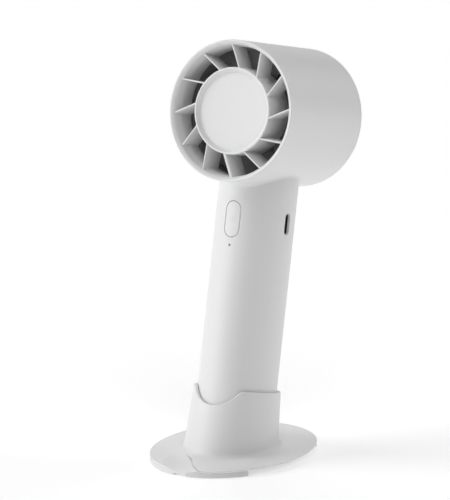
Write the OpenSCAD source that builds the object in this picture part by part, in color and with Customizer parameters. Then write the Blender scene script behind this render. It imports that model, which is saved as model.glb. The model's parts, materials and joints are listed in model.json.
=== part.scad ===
// Handheld electric fan standing in its desk stand. Millimetres, +Z up, the front faces -Y.
// The origin is on the table, at the centre of the bounding box's underside.
// The fan is drawn in its own frame: Y along the head's axis, Z along the handle, origin where they cross.

/* [Fan head] */
// Outside diameter of the drum-shaped head
head_d = 60; // [58:0.5:62]
// Length of the head along its axis
head_len = 60; // [58:1:64]
// Height of the head's centre above the table
head_z = 143.84; // [142:0.5:150]
// Backward lean of the fan in its stand, in degrees
lean = 11.64; // [9:0.5:13]
// Radius of the bore that the air runs through
duct_r = 28; // [27.5:0.1:28.2]
// How far the vanes and the hub sit behind the front rim
front_recess = 1.3; // [0.8:0.1:2]

/* [Front vanes] */
// Number of fixed vanes
vane_count = 12; // [8:1:16]
// Outside radius of the fixed hub
hub_r = 18.5; // [17.5:0.5:19.5]
// Angle from a vane's inner end to its outer end, seen from the front
vane_sweep = 11.2; // [0:0.2:20]
// Angle of the first vane's inner end
vane_phase = -4.7; // [-15:0.1:15]
// Thickness of a vane
vane_t = 0.8; // [0.6:0.1:1.2]
// Thickness of the bottom vane, which hides the motor leads
lead_vane_t = 1.7; // [1.2:0.1:2.4]
// Length of a vane along the airflow
vane_chord = 11.5; // [9:0.5:12]

/* [Handle] */
// Half of the handle's width, side to side
handle_half_x = 16.5; // [15.5:0.05:17]
// Half of the handle's depth, front to back
handle_half_y = 18.97; // [18.5:0.05:20]
// Radius of the handle's front and back curves
handle_end_r = 14.5; // [13.5:0.1:15]
// Distance from the head's centre to the handle's bottom
handle_reach = 137; // [137:0.5:138]
// Thickness of the housing's walls
wall = 1.8; // [1.6:0.1:2]

/* [Controls and port] */
// Distance from the head's centre down to the button's centre
button_drop = 45.6; // [44:0.2:47]
// Height of the button
button_h = 15.3; // [13:0.1:16]
// Width of the button
button_w = 7.2; // [6.5:0.1:7.6]
// Distance from the head's centre down to the status light
led_drop = 56.7; // [56:0.1:58]
// Distance from the head's centre down to the charging port's centre
port_drop = 45.75; // [45:0.05:46.5]
// Height of the opening for the charging port
port_h = 9.3; // [9.2:0.05:9.6]
// Width of the opening for the charging port
port_w = 3.5; // [3.45:0.05:3.8]

/* [Motor] */
// Number of rotor blades
blade_count = 13; // [7:1:15]
// Radius of the blades' tips
blade_tip_r = 27.2; // [26.8:0.1:27.4]
// Number of stator teeth
tooth_count = 9; // [6:3:12]
// Radius of the motor shaft
shaft_r = 1; // [0.95:0.01:1.05]

/* [Battery] */
// Diameter of the battery cell
cell_d = 18.4; // [18:0.1:18.6]
// Length of the battery cell
cell_len = 65; // [64:0.5:65.5]

/* [Stand] */
// Width of the base
base_w = 65.6; // [64:0.2:68]
// Depth of the base, front to back
base_depth = 86.7; // [84:0.5:90]
// Distance from the head's centre forward to the base's centre
base_forward = 26.84; // [26:0.2:28]
// Height of the base's rim
rim_h = 3; // [2.8:0.1:3.4]
// Height of the feet under the rim
foot_h = 2; // [1.6:0.1:2.2]
// Thickness of the cup at its mouth
cup_wall = 1.7; // [1.6:0.1:2.4]
// Distance from the head's centre to the cup's mouth
cup_mouth = 118; // [116:0.5:120]
// Gap between the handle and the cup
cup_gap = 0.25; // [0.2:0.05:0.4]
// Radius of the thumb scoop in the cup's front
scoop_r = 13; // [11:0.5:14]

/* [Hidden] */
$fn = 96;

fit = 0.02;
head_r = head_d / 2;
head_front = -head_len / 2;
head_edge = 0.5;
shell_t = 1.2;
bore_r = head_r - shell_t;

// The head's back edge and the base's front edge are the row's furthest points along Y.
head_back_reach = head_len / 2 * cos(lean) + (head_r - head_edge) * sin(lean);
base_front_reach = base_forward + base_depth / 2;
head_y = (base_front_reach - head_back_reach) / 2;
base_y = head_y - base_forward;

vane_front = head_front + front_recess;
ring_back = vane_front + vane_chord;
liner_back = 14;
lip_depth = 0.7;
hub_back = -13;
web_t = 1.6;
web_front = hub_back - web_t;
hub_wall = 1.3;
dish_r = 16.2;
dish_depth = 1.7;
lead_vane = -3;
lead_y = -15.55;
lead_shift = 1.2;

tube_r = 4;
tube_bore_r = 3;
tube_front = -17;
tube_back = 0.9;
flange_r = 7;
flange_t = 1.6;
flange_screw_r = 5.4;
bearing_len = 2.5;
front_bearing_y = -16.6;
rear_bearing_y = -1.7;
stator_front = -10.5;
stator_len = 7;
stator_r = 10.4;
coil_over = 1.2;
magnet_in_r = 11.1;
can_in_r = 12.2;
can_r = 13;
can_front = -11.4;
can_back = 2.2;
can_t = 0.8;
rotor_hub_r = 18;
rotor_front = -12.2;
rotor_nose = 11.2;
driver_y = -21;
board_t = 1;
driver_post_r = 13;
phase_wire_r = 0.45;
phase_wire_at = 8.4;

board_y = -1.95;
board_half_x = 12.5;
board_top = -36.5;
board_bottom = -61.5;
board_screw_x = 8.5;
board_screw_z = [-38.8, -59.3];
tray_y = 9.6;
tray_t = 1.6;
tray_half_x = 9;
tray_top = -34.5;
cell_top = -64;
cell_bottom = cell_top - cell_len;
tab_t = 0.3;
end_wall_t = 1.2;
cap_wall_t = 2;
cap_flange_t = 1.4;
cap_screw_y = 6;
lead_r = 0.6;

port_y = -0.6;
light_r = 0.42;
usb_len = 7.35;
usb_h = 8.94;
usb_w = 3.26;
usb_mouth_x = 15.5;
usb_wall = 0.3;
switch_side = 6;
switch_front = -5.45;
plunger_r = 1.7;
plunger_front = -6.95;
button_back = -15.1;
flange_front = -15.9;

cover_inset = 6;
cover_bottom = 0.8;
cover_t = 1.2;
foot_w = 3;
foot_from = 3;
foot_to = 25;
cup_foot_spread = 1.1;
socket_floor = -handle_reach - 0.2;
floor_t = 1.6;
scoop_drop = 6;
notch_left = -13.5;
notch_top = 3.45;
notch_fall = 3.5;
stand_screw_spots = [[0, -27], [-19, 4], [19, 4]];

function polar(r, a) = [r * cos(a), r * sin(a)];

// ---- frames and outlines ----

// Places its children in the fan's own frame.
module in_fan() {
    translate([0, head_y, head_z]) rotate([-lean, 0, 0]) children();
}

// Turns a shape that stands on the XY plane so that it runs along +Y from the given place.
module along_y(from) {
    translate([0, from, 0]) rotate([-90, 0, 0]) children();
}

// A screw that runs along +Z, with its head below the origin.
module screw(r, length, head_r, head_h) {
    cylinder(r = r, h = length);
    difference() {
        translate([0, 0, -head_h]) cylinder(r = head_r, h = head_h);
        for (turn = [0, 90]) rotate(turn)
            translate([-head_r * 0.65, -0.2, -head_h - 1]) cube([head_r * 1.3, 0.4, 1 + head_h / 2]);
    }
}

// An oval of four tangent arcs, from its two half sizes and the radius of its Y ends.
module oval(half_x, half_y, end_r) {
    end_at = half_y - end_r;
    gap = end_r - half_x;
    side_at = (end_at * end_at - gap * gap) / (2 * -gap);
    side_r = half_x + side_at;
    meet_y = end_at * side_r / (side_r - end_r);
    intersection() {
        translate([-side_at, 0]) circle(r = side_r);
        translate([side_at, 0]) circle(r = side_r);
        translate([-half_x, -meet_y]) square([2 * half_x, 2 * meet_y]);
    }
    for (side = [-1, 1]) translate([0, side * end_at]) circle(r = end_r);
}

module handle_oval(grow = 0) {
    oval(handle_half_x + grow, handle_half_y + grow, handle_end_r + grow);
}

module base_oval(grow = 0) {
    translate([0, base_y]) oval(base_w / 2 + grow, base_depth / 2 + grow, 27 + grow);
}

// An upright slot with round ends, centred on the origin.
module slot(w, h) {
    square([w, h - w], center = true);
    for (side = [-1, 1]) translate([0, side * (h - w) / 2]) circle(r = w / 2);
}

// A wire swept through a list of points. None of its runs may be parallel to the reference.
wire_sides = 8;
wire_reference = [0.97, 0.2, 0.15];

function unit(v) = v / norm(v);

function tangent(path, i) =
    let (before = i > 0 ? unit(path[i] - path[i - 1]) : [0, 0, 0])
    let (after = i < len(path) - 1 ? unit(path[i + 1] - path[i]) : [0, 0, 0])
    unit(before + after);

function wire_ring(path, i, r) =
    let (along = tangent(path, i))
    let (across = unit(cross(along, wire_reference)))
    let (up = cross(along, across))
    [for (k = [0 : wire_sides - 1])
        let (a = k * 360 / wire_sides) path[i] + r * (cos(a) * across + sin(a) * up)];

module wire(path, r) {
    last = len(path) - 1;
    points = [for (i = [0 : last]) each wire_ring(path, i, r)];
    start = [for (k = [wire_sides - 1 : -1 : 0]) k];
    end = [for (k = [0 : wire_sides - 1]) last * wire_sides + k];
    walls = [for (i = [0 : last - 1], k = [0 : wire_sides - 1])
        let (next = (k + 1) % wire_sides)
        [i * wire_sides + k, i * wire_sides + next, (i + 1) * wire_sides + next, (i + 1) * wire_sides + k]];
    polyhedron(points, concat([start, end], walls));
}

// ---- stand ----

// A slab that blends from one outline at the bottom to another at the top.
module loft(low, high) {
    hull() {
        translate([0, 0, low]) linear_extrude(0.01) children(0);
        translate([0, 0, high - 0.01]) linear_extrude(0.01) children(1);
    }
}

module cup_body() {
    in_fan() loft(-handle_reach - 4, -cup_mouth) {
        handle_oval(cup_wall + cup_foot_spread, $fn = 48);
        handle_oval(cup_wall, $fn = 48);
    }
}

module base_disc() {
    difference() {
        union() {
            translate([0, 0, foot_h]) linear_extrude(rim_h - foot_h) base_oval();
            loft(rim_h - 0.01, rim_h + 1.2) {
                base_oval(-0.6, $fn = 48);
                base_oval(-9, $fn = 48);
            }
            loft(rim_h + 1, rim_h + 7) {
                translate([0, head_y - base_forward - 1]) handle_oval(7, $fn = 48);
                translate([0, head_y - base_forward]) handle_oval(3, $fn = 48);
            }
        }
        translate([0, 0, -1]) linear_extrude(1 + foot_h) base_oval(-foot_w);
    }
}

// The finger notch in the base's front: a ramp that falls to the right and ends at a step.
module finger_notch() {
    translate([notch_left, base_y, notch_top]) rotate([0, notch_fall, 0]) linear_extrude(6)
        translate([-notch_left, 0]) polygon([
            [-14.5, -29], [-7, -27], [-1.5, -31], [4.5, -37.5], [10.5, -43], [10.5, -46], [-10, -46]]);
}

module stand_base() {
    color([0.93, 0.93, 0.93]) difference() {
        union() {
            base_disc();
            difference() {
                cup_body();
                translate([-50, -80, -20]) cube([100, 160, 20 + foot_h]);
            }
        }
        in_fan() translate([0, 0, socket_floor]) linear_extrude(30) handle_oval(cup_gap);
        in_fan() translate([0, 0, -cup_mouth + scoop_drop]) rotate([90, 0, 0])
            cylinder(r = scoop_r, h = 30);
        intersection() {
            in_fan() translate([0, 0, socket_floor - floor_t - 20]) linear_extrude(20)
                handle_oval(-0.5);
            translate([-50, -80, 0]) cube([100, 160, 30]);
        }
        for (spot = stand_screw_spots) translate([spot[0], base_y + spot[1], foot_h - 1])
            cylinder(r = 0.8 + fit, h = 2);
        finger_notch();
    }
}

module stand_cover() {
    color([0.88, 0.88, 0.88]) difference() {
        translate([0, 0, cover_bottom]) linear_extrude(cover_t) base_oval(-cover_inset);
        for (spot = stand_screw_spots) translate([spot[0], base_y + spot[1], 0])
            cylinder(r = 1, h = 3);
    }
}

// Soft pads under the rim, in two pairs with a gap at the front and at the back.
module stand_feet() {
    color([0.95, 0.95, 0.95]) intersection() {
        linear_extrude(foot_h) difference() {
            base_oval(-0.1);
            base_oval(-foot_w);
        }
        for (side = [-1, 1], end = [-1, 1])
            translate([side > 0 ? foot_from : -foot_to, end > 0 ? base_y + 20 : base_y - 60, -1])
                cube([foot_to - foot_from, 40, 5]);
    }
}

module stand_screws() {
    color("silver") for (spot = stand_screw_spots)
        translate([spot[0], base_y + spot[1], cover_bottom]) screw(0.8, 2.1, 1.6, 0.6);
}

// ---- housing ----

module head_outside() {
    along_y(head_front) rotate_extrude() polygon([
        [0, 0], [head_r - head_edge, 0], [head_r, head_edge],
        [head_r, head_len - head_edge], [head_r - head_edge, head_len], [0, head_len]]);
}

module lead_hole() {
    spot = polar(duct_r, vane_phase + vane_sweep + 30 * lead_vane);
    translate([spot[0] - lead_shift, lead_y, spot[1] - 5]) cylinder(r = 1.2, h = 12);
}

module main_housing() {
    color([0.94, 0.94, 0.94]) in_fan() difference() {
        union() {
            head_outside();
            translate([0, 0, -handle_reach + cap_flange_t])
                linear_extrude(handle_reach - cap_flange_t - head_r / 2) handle_oval();
        }
        along_y(head_front - 1) cylinder(r = bore_r, h = head_len + 2);
        difference() {
            translate([0, 0, -handle_reach]) linear_extrude(handle_reach) handle_oval(-wall);
            along_y(head_front) cylinder(r = head_r, h = head_len);
        }
        translate([0, 0, -button_drop]) along_y(-handle_half_y - 1)
            linear_extrude(4) slot(button_w + 0.3, button_h + 0.3);
        translate([0, 0, -led_drop]) along_y(-handle_half_y - 1) cylinder(r = light_r + 0.05, h = 4);
        translate([handle_half_x - 3, port_y, -port_drop]) rotate([90, 0, 90])
            linear_extrude(4) slot(port_w, port_h);
        lead_hole();
    }
}

// One vane, from the hub to the liner, at the angle of its inner end.
module vane(thickness) {
    run = polar(duct_r, vane_sweep) - [hub_r, 0];
    overrun = 1;
    translate([hub_r, 0, 0]) rotate([0, -atan2(run[1], run[0]), 0])
        translate([-overrun, vane_front, -thickness / 2]) cube([norm(run) + 2 * overrun, vane_chord, thickness]);
}

module guide_vanes() {
    color([0.93, 0.93, 0.94]) in_fan() intersection() {
        for (i = [0 : vane_count - 1]) rotate([0, -(vane_phase + i * 360 / vane_count), 0])
            vane(i == vane_count + lead_vane ? lead_vane_t : vane_t);
        along_y(vane_front) difference() {
            cylinder(r = duct_r, h = vane_chord);
            translate([0, 0, -1]) cylinder(r = hub_r, h = vane_chord + 2);
        }
    }
}

// The ring round the vanes. Its front edge slopes in from the housing's rim.
module duct_ring() {
    color([0.93, 0.93, 0.94]) in_fan() along_y(0) rotate_extrude() polygon([
        [duct_r, head_front + lip_depth], [bore_r - 0.05, head_front + lip_depth / 2],
        [bore_r - 0.05, ring_back], [duct_r, ring_back]]);
}

// The dark ring round the impeller, behind the vanes.
module inlet_liner() {
    color([0.15, 0.15, 0.16]) in_fan() difference() {
        along_y(ring_back + 0.05) cylinder(r = bore_r - 0.05, h = liner_back - ring_back);
        along_y(ring_back - 1) cylinder(r = duct_r, h = liner_back - ring_back + 3);
        lead_hole();
    }
}

// The hub that the vanes hold: a bead, a sloped seat for the cap, a wall and a web for the motor.
module fixed_hub() {
    seat_depth = dish_depth + 1.3;
    color([0.93, 0.93, 0.94]) in_fan() difference() {
        union() {
            along_y(0) rotate_extrude() polygon([
                [hub_r, vane_front + 0.4], [hub_r - 0.3, vane_front], [hub_r - 0.8, vane_front],
                [dish_r + 0.05, vane_front + dish_depth], [dish_r + 0.05, vane_front + seat_depth],
                [hub_r - hub_wall, vane_front + seat_depth], [hub_r - hub_wall, web_front],
                [tube_r + 0.05, web_front], [tube_r + 0.05, hub_back], [hub_r, hub_back]]);
            for (i = [0 : 2]) rotate([0, 120 * i, 0]) translate([0, 0, driver_post_r])
                along_y(driver_y + board_t) cylinder(r = 1.4, h = web_front - driver_y - board_t + 0.2);
        }
        rotate([0, 7.5, 0]) translate([0, lead_y, -hub_r - 1]) cylinder(r = 1.5, h = 3);
        for (i = [0 : 2]) rotate([0, 120 * i, 0]) {
            translate([0, 0, driver_post_r]) along_y(driver_y) cylinder(r = 0.6, h = 4, $fn = 24);
            translate([0, 0, flange_screw_r]) along_y(web_front - 1) cylinder(r = 0.7, h = 4, $fn = 24);
            translate([0, 0, -phase_wire_at]) along_y(web_front - 1) cylinder(r = 0.7, h = 4, $fn = 24);
        }
    }
}

module hub_cap() {
    color([0.92, 0.92, 0.93]) in_fan() along_y(vane_front + dish_depth) cylinder(r = dish_r, h = 1.2);
}

// A snap ring with spokes and rings over the air inlet.
module rear_grille() {
    grille_t = 2;
    color([0.92, 0.92, 0.93]) in_fan() along_y(head_len / 2 - 0.6 - grille_t) {
        linear_extrude(grille_t) {
            for (r = [27.5, 21.5, 15.2, 9]) difference() {
                circle(r = r == 27.5 ? bore_r - 0.05 : r + 0.6);
                circle(r = r == 27.5 ? 27 : r - 0.6);
            }
            circle(r = 5);
            for (i = [0 : 35]) rotate(10 * i) translate([i % 2 == 0 ? 4.5 : 14.8, -0.5])
                square([(i % 2 == 0 ? 27.5 - 4.5 : 27.5 - 14.8), 1]);
        }
        translate([0, 0, -6]) difference() {
            cylinder(r = bore_r - 0.05, h = 6.5);
            translate([0, 0, -1]) cylinder(r = bore_r - 1.2, h = 9);
        }
    }
}

// ---- motor, fixed side ----

module bearing_tube() {
    color([0.8, 0.66, 0.36]) in_fan() difference() {
        union() {
            along_y(tube_front) cylinder(r = tube_r, h = tube_back - tube_front);
            along_y(web_front - flange_t) cylinder(r = flange_r, h = flange_t);
        }
        along_y(tube_front - 1) cylinder(r = tube_bore_r + fit, h = tube_back - tube_front + 2);
        for (i = [0 : 2]) rotate([0, 120 * i, 0]) translate([0, 0, flange_screw_r])
            along_y(web_front - 3) cylinder(r = 0.8, h = 4, $fn = 24);
    }
}

module bearing(from) {
    color([0.75, 0.76, 0.78]) in_fan() along_y(from) difference() {
        cylinder(r = tube_bore_r, h = bearing_len);
        translate([0, 0, -1]) cylinder(r = shaft_r + fit, h = bearing_len + 2);
        for (end = [-0.2, bearing_len - 0.3]) translate([0, 0, end]) difference() {
            cylinder(r = 2.4, h = 0.5);
            translate([0, 0, -1]) cylinder(r = 1.6, h = 3);
        }
    }
}

module front_bearing() {
    bearing(front_bearing_y);
}

module rear_bearing() {
    bearing(rear_bearing_y);
}

module stator_core() {
    color([0.5, 0.52, 0.55]) in_fan() along_y(stator_front) linear_extrude(stator_len) difference() {
        union() {
            circle(r = 5.4);
            for (i = [0 : tooth_count - 1]) rotate(i * 360 / tooth_count) {
                translate([4.5, -0.9]) square([5, 1.8]);
                intersection() {
                    difference() {
                        circle(r = stator_r);
                        circle(r = stator_r - 1);
                    }
                    polygon([[0, 0], polar(14, -15), polar(14, 15)]);
                }
            }
        }
        circle(r = tube_r + fit);
    }
}

module stator_coils() {
    color([0.78, 0.42, 0.2]) in_fan() for (i = [0 : tooth_count - 1])
        rotate([0, i * 360 / tooth_count, 0]) difference() {
            translate([5.7, stator_front - coil_over, -1.75])
                cube([3.5, stator_len + 2 * coil_over, 3.5]);
            translate([5, stator_front - fit, -0.9 - fit]) cube([5, stator_len + 2 * fit, 1.8 + 2 * fit]);
            for (side = [-1, 1]) rotate([0, side * 20, 0])
                translate([0, stator_front - 5, side > 0 ? -10 : 0]) cube([14, 20, 10]);
        }
}

module motor_board() {
    color([0.1, 0.35, 0.2]) in_fan() {
        along_y(driver_y) difference() {
            cylinder(r = 16, h = board_t);
            translate([0, 0, -1]) cylinder(r = 3.5, h = 4);
            for (i = [0 : 2]) rotate(90 + 120 * i) {
                translate([-driver_post_r, 0, -1]) cylinder(r = 0.7, h = 4, $fn = 24);
                translate([phase_wire_at, 0, -1]) cylinder(r = 0.6, h = 4, $fn = 24);
            }
        }
        translate([-8.5, driver_y - 1, 4]) cube([4, 1, 4]);
        translate([3, driver_y - 0.9, 5]) cube([5, 0.9, 3]);
        translate([-3, driver_y - 0.8, -12]) cube([2, 0.8, 1.2]);
        translate([2, driver_y - 0.8, -12]) cube([2, 0.8, 1.2]);
    }
}

module board_standoff_screws() {
    color("silver") in_fan() for (i = [0 : 2]) rotate([0, 120 * i, 0])
        translate([0, 0, driver_post_r]) along_y(driver_y) screw(0.55, 3.5, 1.1, 0.7, $fn = 24);
}

module motor_screws() {
    color("silver") in_fan() for (i = [0 : 2]) rotate([0, 120 * i, 0])
        translate([0, 0, flange_screw_r]) along_y(web_front - flange_t) screw(0.65, 2.9, 1.2, 0.8, $fn = 24);
}

module phase_wires() {
    color([0.75, 0.4, 0.2]) in_fan() for (i = [0 : 2]) rotate([0, 120 * i, 0])
        translate([0, 0, -phase_wire_at]) along_y(driver_y) cylinder(r = phase_wire_r,
            h = stator_front - coil_over - 0.05 - driver_y, $fn = 24);
}

// Two leads that cross the air duct behind the thick vane and drop into the handle.
module motor_leads() {
    out = polar(duct_r, vane_phase + vane_sweep + 30 * lead_vane) - [lead_shift, 0];
    for (side = [-1, 1]) color([0.15, 0.15, 0.15]) in_fan() {
        y = lead_y + 0.5 * side;
        start_x = -3 + 0.5 * side;
        end_x = out[0] + 1.2 * side;
        wire([[start_x, driver_y + board_t + 0.1, -15.5], [start_x, y, -16], [out[0], y, out[1]],
              [out[0], y, -32.5], [end_x, y + 8, -35], [end_x, board_y - 0.45, -38]], 0.4);
    }
}

// ---- handle, inside ----

module chassis() {
    color([0.85, 0.85, 0.86]) in_fan() difference() {
        union() {
            translate([-tray_half_x, tray_y, cell_bottom - tab_t - cap_wall_t])
                cube([2 * tray_half_x, tray_t, tray_top - cell_bottom + tab_t + cap_wall_t]);
            translate([-tray_half_x, -9, cell_top + tab_t])
                cube([2 * tray_half_x, 9 + tray_y + 0.1, end_wall_t]);
            translate([-tray_half_x, -9, cell_bottom - tab_t - cap_wall_t])
                cube([2 * tray_half_x, 9 + tray_y + 0.1, cap_wall_t]);
            for (side = [-1, 1], z = board_screw_z) translate([side * board_screw_x, 0, z])
                along_y(board_y + board_t) cylinder(r = 1.7, h = tray_y - board_y - board_t + 0.1);
        }
        for (side = [-1, 1], z = board_screw_z) translate([side * board_screw_x, 0, z])
            along_y(board_y) cylinder(r = 0.7, h = 6, $fn = 24);
        for (side = [-1, 1]) translate([0, side * cap_screw_y, cell_bottom - 5])
            cylinder(r = 0.92, h = 4.5, $fn = 24);
    }
}

module battery_cell() {
    color([0.25, 0.5, 0.72]) in_fan() {
        translate([0, 0, cell_bottom]) cylinder(r = cell_d / 2, h = cell_len - 1);
        translate([0, 0, cell_top - 1]) cylinder(r = 4, h = 1);
    }
}

module battery_tabs() {
    color([0.75, 0.75, 0.72]) in_fan() for (z = [cell_top, cell_bottom - tab_t])
        translate([-2.5, -8, z]) cube([5, 11, tab_t]);
}

module battery_leads() {
    for (side = [-1, 1]) color([0.15, 0.15, 0.15]) in_fan()
        wire([[side * 11, board_y - lead_r - 0.05, board_bottom + 4],
              [side * 11, board_y - lead_r - 0.05, side > 0 ? cell_top - 3 : cell_bottom + 4],
              [side * 8.2, -8, side > 0 ? cell_top - 6 : cell_bottom + 1.5]], lead_r);
}

// The board sits round the port, which is let into its edge.
module main_board() {
    color([0.1, 0.35, 0.2]) in_fan() difference() {
        translate([-board_half_x, board_y, board_bottom])
            cube([2 * board_half_x, board_t, board_top - board_bottom]);
        for (side = [-1, 1], z = board_screw_z) translate([side * board_screw_x, 0, z])
            along_y(board_y - 1) cylinder(r = 0.9, h = 4, $fn = 24);
        translate([usb_mouth_x - usb_len - fit, board_y - 1, -port_drop - usb_h / 2 - fit])
            cube([board_half_x, board_t + 2, usb_h + 2 * fit]);
    }
}

// Chips, a coil and a connector on the main board.
module board_parts() {
    color([0.15, 0.15, 0.16]) in_fan() {
        translate([-8, board_y - 1.2, -52]) cube([4, 1.2, 5]);
        translate([5.2, board_y - 1, -56]) cube([3, 1, 3]);
        translate([3.3, board_y - 2.5, -47]) cube([4.5, 2.5, 4.5]);
        translate([-3.5, board_y + board_t, -52]) cube([5, 1, 5]);
        translate([-7.5, board_y + board_t, -45]) cube([6, 3, 3.5]);
        for (i = [0 : 4]) translate([-4 + 1.6 * i, board_y - 0.5, -40]) cube([0.8, 0.5, 1.4]);
    }
}

module board_screws() {
    color("silver") in_fan() for (side = [-1, 1], z = board_screw_z)
        translate([side * board_screw_x, 0, z]) along_y(board_y) screw(0.65, 5, 1.4, 0.9, $fn = 24);
}

module usb_shell() {
    color("silver") in_fan() translate([usb_mouth_x - usb_len, port_y, -port_drop]) rotate([90, 0, 90])
        difference() {
            linear_extrude(usb_len) slot(usb_w, usb_h);
            translate([0, 0, 0.8]) linear_extrude(usb_len) slot(usb_w - 2 * usb_wall, usb_h - 2 * usb_wall);
        }
}

module usb_tongue() {
    color([0.12, 0.12, 0.13]) in_fan()
        translate([usb_mouth_x - usb_len + 0.85, port_y - 0.35, -port_drop - 3.3]) cube([5.6, 0.7, 6.6]);
}

module switch_body() {
    color([0.2, 0.2, 0.2]) in_fan() difference() {
        translate([-switch_side / 2, switch_front, -button_drop - switch_side / 2])
            cube([switch_side, board_y - switch_front, switch_side]);
        translate([0, 0, -button_drop]) along_y(switch_front - 1) cylinder(r = plunger_r + 0.1, h = 2.9);
    }
}

module status_led() {
    color([0.95, 0.95, 0.8]) in_fan() translate([-0.8, board_y - 0.7, -led_drop - 0.4]) cube([1.6, 0.7, 0.8]);
}

module light_pipe() {
    color([0.9, 0.93, 0.95]) in_fan() translate([0, 0, -led_drop]) {
        along_y(-handle_half_y + 0.3) cylinder(r = light_r, h = handle_half_y - 16.2, $fn = 24);
        along_y(-16) cylinder(r = 1.1, h = 16 + board_y - 0.8, $fn = 24);
    }
}

module bottom_cap() {
    color([0.93, 0.93, 0.93]) in_fan() difference() {
        union() {
            translate([0, 0, -handle_reach]) linear_extrude(cap_flange_t - fit) handle_oval();
            translate([0, 0, -handle_reach + 1]) linear_extrude(3.6) handle_oval(-wall - 0.05);
        }
        translate([0, 0, -handle_reach + cap_flange_t]) linear_extrude(6) difference() {
            handle_oval(-wall - 1.2);
            for (side = [-1, 1]) translate([0, side * cap_screw_y]) circle(r = 2);
        }
        for (side = [-1, 1]) translate([0, side * cap_screw_y, -handle_reach - 1]) {
            cylinder(r = 1, h = 8, $fn = 24);
            cylinder(r = 1.8, h = 2, $fn = 24);
        }
    }
}

module cap_screws() {
    color("silver") in_fan() for (side = [-1, 1])
        translate([0, side * cap_screw_y, -handle_reach + 1]) screw(0.9, 6.2, 1.7, 0.8, $fn = 24);
}

// ---- button ----

module power_button() {
    color([0.93, 0.93, 0.93]) in_fan() {
        translate([0, 0, -button_drop]) {
            intersection() {
                along_y(-handle_half_y) linear_extrude(button_back + handle_half_y) slot(button_w, button_h);
                translate([0, 0, -20]) linear_extrude(40) handle_oval();
            }
            along_y(flange_front) linear_extrude(button_back - flange_front) slot(button_w + 1.2, button_h + 1.2);
            along_y(button_back - 0.1) cylinder(r = 1.5, h = plunger_front - button_back + 0.05);
        }
    }
}

module switch_plunger() {
    color([0.85, 0.85, 0.8]) in_fan() translate([0, 0, -button_drop])
        along_y(plunger_front) cylinder(r = plunger_r, h = 2.7);
}

// ---- rotor ----

// One cambered blade: a strip of a cylinder whose axis is radial, cut to the duct.
module blade() {
    camber_r = 26;
    rise = [-11.2, 2.8];
    intersection() {
        translate([rotor_hub_r - 3, rise[0] - 9, camber_r * 0.7]) rotate([0, 90, 0]) difference() {
            cylinder(r = camber_r + 0.45, h = 14);
            translate([0, 0, -1]) cylinder(r = camber_r - 0.45, h = 16);
        }
        translate([0, rise[0], -18]) cube([30, rise[1] - rise[0], 36]);
    }
}

module impeller_hub() {
    color([0.15, 0.15, 0.16]) in_fan() difference() {
        along_y(0) rotate_extrude() polygon([
            [0, rotor_front], [rotor_hub_r, rotor_front], [rotor_hub_r, 3], [16, 7], [9, 10.3], [0, rotor_nose]]);
        along_y(rotor_front - 1) cylinder(r = can_r + fit, h = can_back + fit - rotor_front + 1);
        along_y(rotor_front - 1) difference() {
            cylinder(r = rotor_hub_r - 1.2, h = 3 - rotor_front + 1);
            translate([0, 0, -1]) cylinder(r = can_r + 1.2, h = 30);
        }
        along_y(0) cylinder(r = shaft_r + fit, h = 9.1);
    }
}

module impeller_blades() {
    color([0.15, 0.15, 0.16]) in_fan() intersection() {
        for (i = [0 : blade_count - 1]) rotate([0, i * 360 / blade_count, 0]) blade();
        along_y(rotor_front) difference() {
            cylinder(r = blade_tip_r, h = 15);
            translate([0, 0, -1]) cylinder(r = rotor_hub_r, h = 17);
        }
    }
}

module rotor_can() {
    color([0.7, 0.71, 0.73]) in_fan() difference() {
        along_y(can_front) cylinder(r = can_r, h = can_back - can_front);
        along_y(can_front - 1) cylinder(r = can_in_r, h = can_back - can_t - can_front + 1);
        along_y(0) cylinder(r = shaft_r + fit, h = 5);
    }
}

module magnet_ring() {
    color([0.25, 0.25, 0.27]) in_fan() along_y(stator_front - 0.3) difference() {
        cylinder(r = can_in_r - fit, h = stator_len + 1);
        translate([0, 0, -1]) cylinder(r = magnet_in_r, h = stator_len + 3);
    }
}

module motor_shaft() {
    color([0.8, 0.8, 0.82]) in_fan() along_y(-17.9) cylinder(r = shaft_r, h = 26.9);
}

// A retaining ring in front of the front bearing.
module shaft_clip() {
    color([0.6, 0.6, 0.62]) in_fan() along_y(-17.4) difference() {
        cylinder(r = 1.8, h = 0.4);
        translate([0, 0, -1]) cylinder(r = shaft_r + fit, h = 3);
    }
}

stand_base();
stand_cover();
stand_feet();
stand_screws();
main_housing();
duct_ring();
inlet_liner();
fixed_hub();
guide_vanes();
hub_cap();
rear_grille();
bearing_tube();
front_bearing();
rear_bearing();
stator_core();
stator_coils();
motor_board();
board_standoff_screws();
motor_screws();
phase_wires();
motor_leads();
chassis();
battery_cell();
battery_tabs();
battery_leads();
main_board();
board_parts();
board_screws();
usb_shell();
usb_tongue();
switch_body();
status_led();
light_pipe();
bottom_cap();
cap_screws();
power_button();
switch_plunger();
impeller_hub();
impeller_blades();
rotor_can();
magnet_ring();
motor_shaft();
shaft_clip();
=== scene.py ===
"""Looks of a handheld fan that leans in its desk stand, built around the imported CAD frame.

Points of the fan are in the fan's own frame: X right, Y along the head's axis towards the back, Z up
along the handle, from the point where the two axes cross. Points of the stand are in the row frame.
Both are in millimetres until a mesh is made.
"""

import json
import math

import bmesh
import bpy
import numpy as np
from mathutils import Matrix, Vector


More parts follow.
